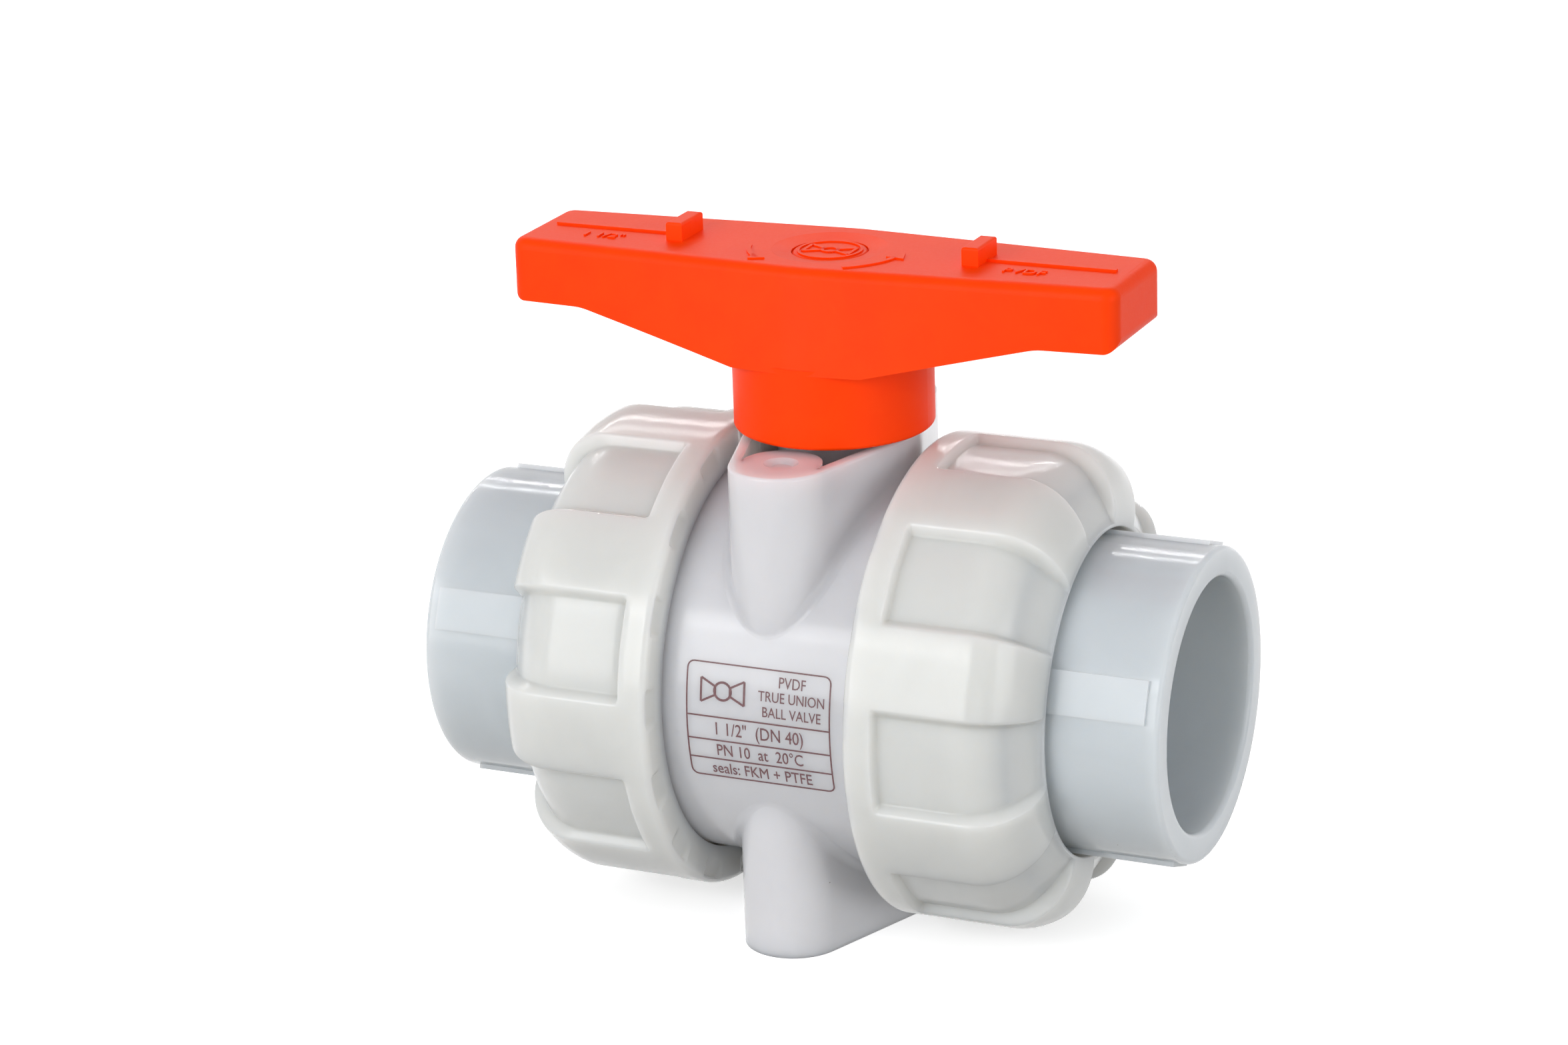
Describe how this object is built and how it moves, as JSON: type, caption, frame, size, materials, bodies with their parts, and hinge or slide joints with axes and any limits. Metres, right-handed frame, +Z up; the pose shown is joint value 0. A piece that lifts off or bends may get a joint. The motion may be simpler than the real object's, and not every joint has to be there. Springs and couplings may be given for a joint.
{
  "type": "true-union ball valve",
  "caption": "True-union plastic ball valve with a T-handle, recessed union nuts, plain pipe sockets at both ends, a stem tower and a mounting foot.",
  "frame": {"origin": "on the underside of the foot, under the crossing of the flow axis and the stem", "axes": "+X along the flow from the inlet to the outlet, +Z up the stem to the handle, +Y to the back"},
  "size_m": [0.15, 0.0926, 0.1337],
  "materials": {
    "pvdf_body": "moulded, milky, satin",
    "pvdf_nut": "moulded, milky, satin, slightly warm",
    "pvdf_connector": "moulded, milky, satin, slightly cool",
    "orange_handle": "moulded, satin",
    "ptfe": "machined, waxy",
    "fkm": "moulded rubber, dull",
    "stainless": "turned"
  },
  "bodies": {
    "valve": {"valve_body": "pvdf_body", "inlet_seat": "ptfe", "outlet_seat": "ptfe", "inlet_seat_backing_ring": "fkm", "outlet_seat_backing_ring": "fkm", "inlet_face_ring": "fkm", "outlet_face_ring": "fkm", "seat_carrier": "pvdf_body", "seat_carrier_ring": "fkm"},
    "stem_and_handle": {"stem": "pvdf_body", "stem_ring_lower": "fkm", "stem_ring_upper": "fkm", "stem_thrust_washer": "ptfe", "handle": "orange_handle", "handle_cap": "orange_handle", "handle_washer": "stainless", "handle_screw": "stainless"},
    "ball": {"ball": "pvdf_body"},
    "inlet_connector": {"inlet_end_connector": "pvdf_connector"},
    "outlet_connector": {"outlet_end_connector": "pvdf_connector"},
    "inlet_nut": {"inlet_union_nut": "pvdf_nut"},
    "outlet_nut": {"outlet_union_nut": "pvdf_nut"}
  },
  "joints": [
    {"name": "handle_turn", "type": "hinge", "parent": "valve", "child": "stem_and_handle", "pos_m": [0, 0, 0.0964], "axis": [0, 0, -1], "range_deg": [0, 90]},
    {"name": "ball_turn", "type": "hinge", "parent": "valve", "child": "ball", "pos_m": [0, 0, 0.0482], "axis": [0, 0, -1], "range_deg": [0, 90]},
    {"name": "inlet_union_slide", "type": "slide", "parent": "valve", "child": "inlet_connector", "axis": [-1, 0, 0], "range_m": [0, 0.014]},
    {"name": "inlet_nut_turn", "type": "hinge", "parent": "inlet_connector", "child": "inlet_nut", "pos_m": [-0.038, 0, 0.0482], "axis": [-1, 0, 0], "range_deg": [0, 1260]},
    {"name": "outlet_union_slide", "type": "slide", "parent": "valve", "child": "outlet_connector", "axis": [1, 0, 0], "range_m": [0, 0.014]},
    {"name": "outlet_nut_turn", "type": "hinge", "parent": "outlet_connector", "child": "outlet_nut", "pos_m": [0.038, 0, 0.0482], "axis": [1, 0, 0], "range_deg": [0, 1260]}
  ],
  "couplings": [
    {"joint": "ball_turn", "follows": "handle_turn", "ratio": 1},
    {"joint": "inlet_nut_turn", "follows": "inlet_union_slide", "rad_per_m": 1570.8},
    {"joint": "outlet_nut_turn", "follows": "outlet_union_slide", "rad_per_m": 1570.8}
  ]
}
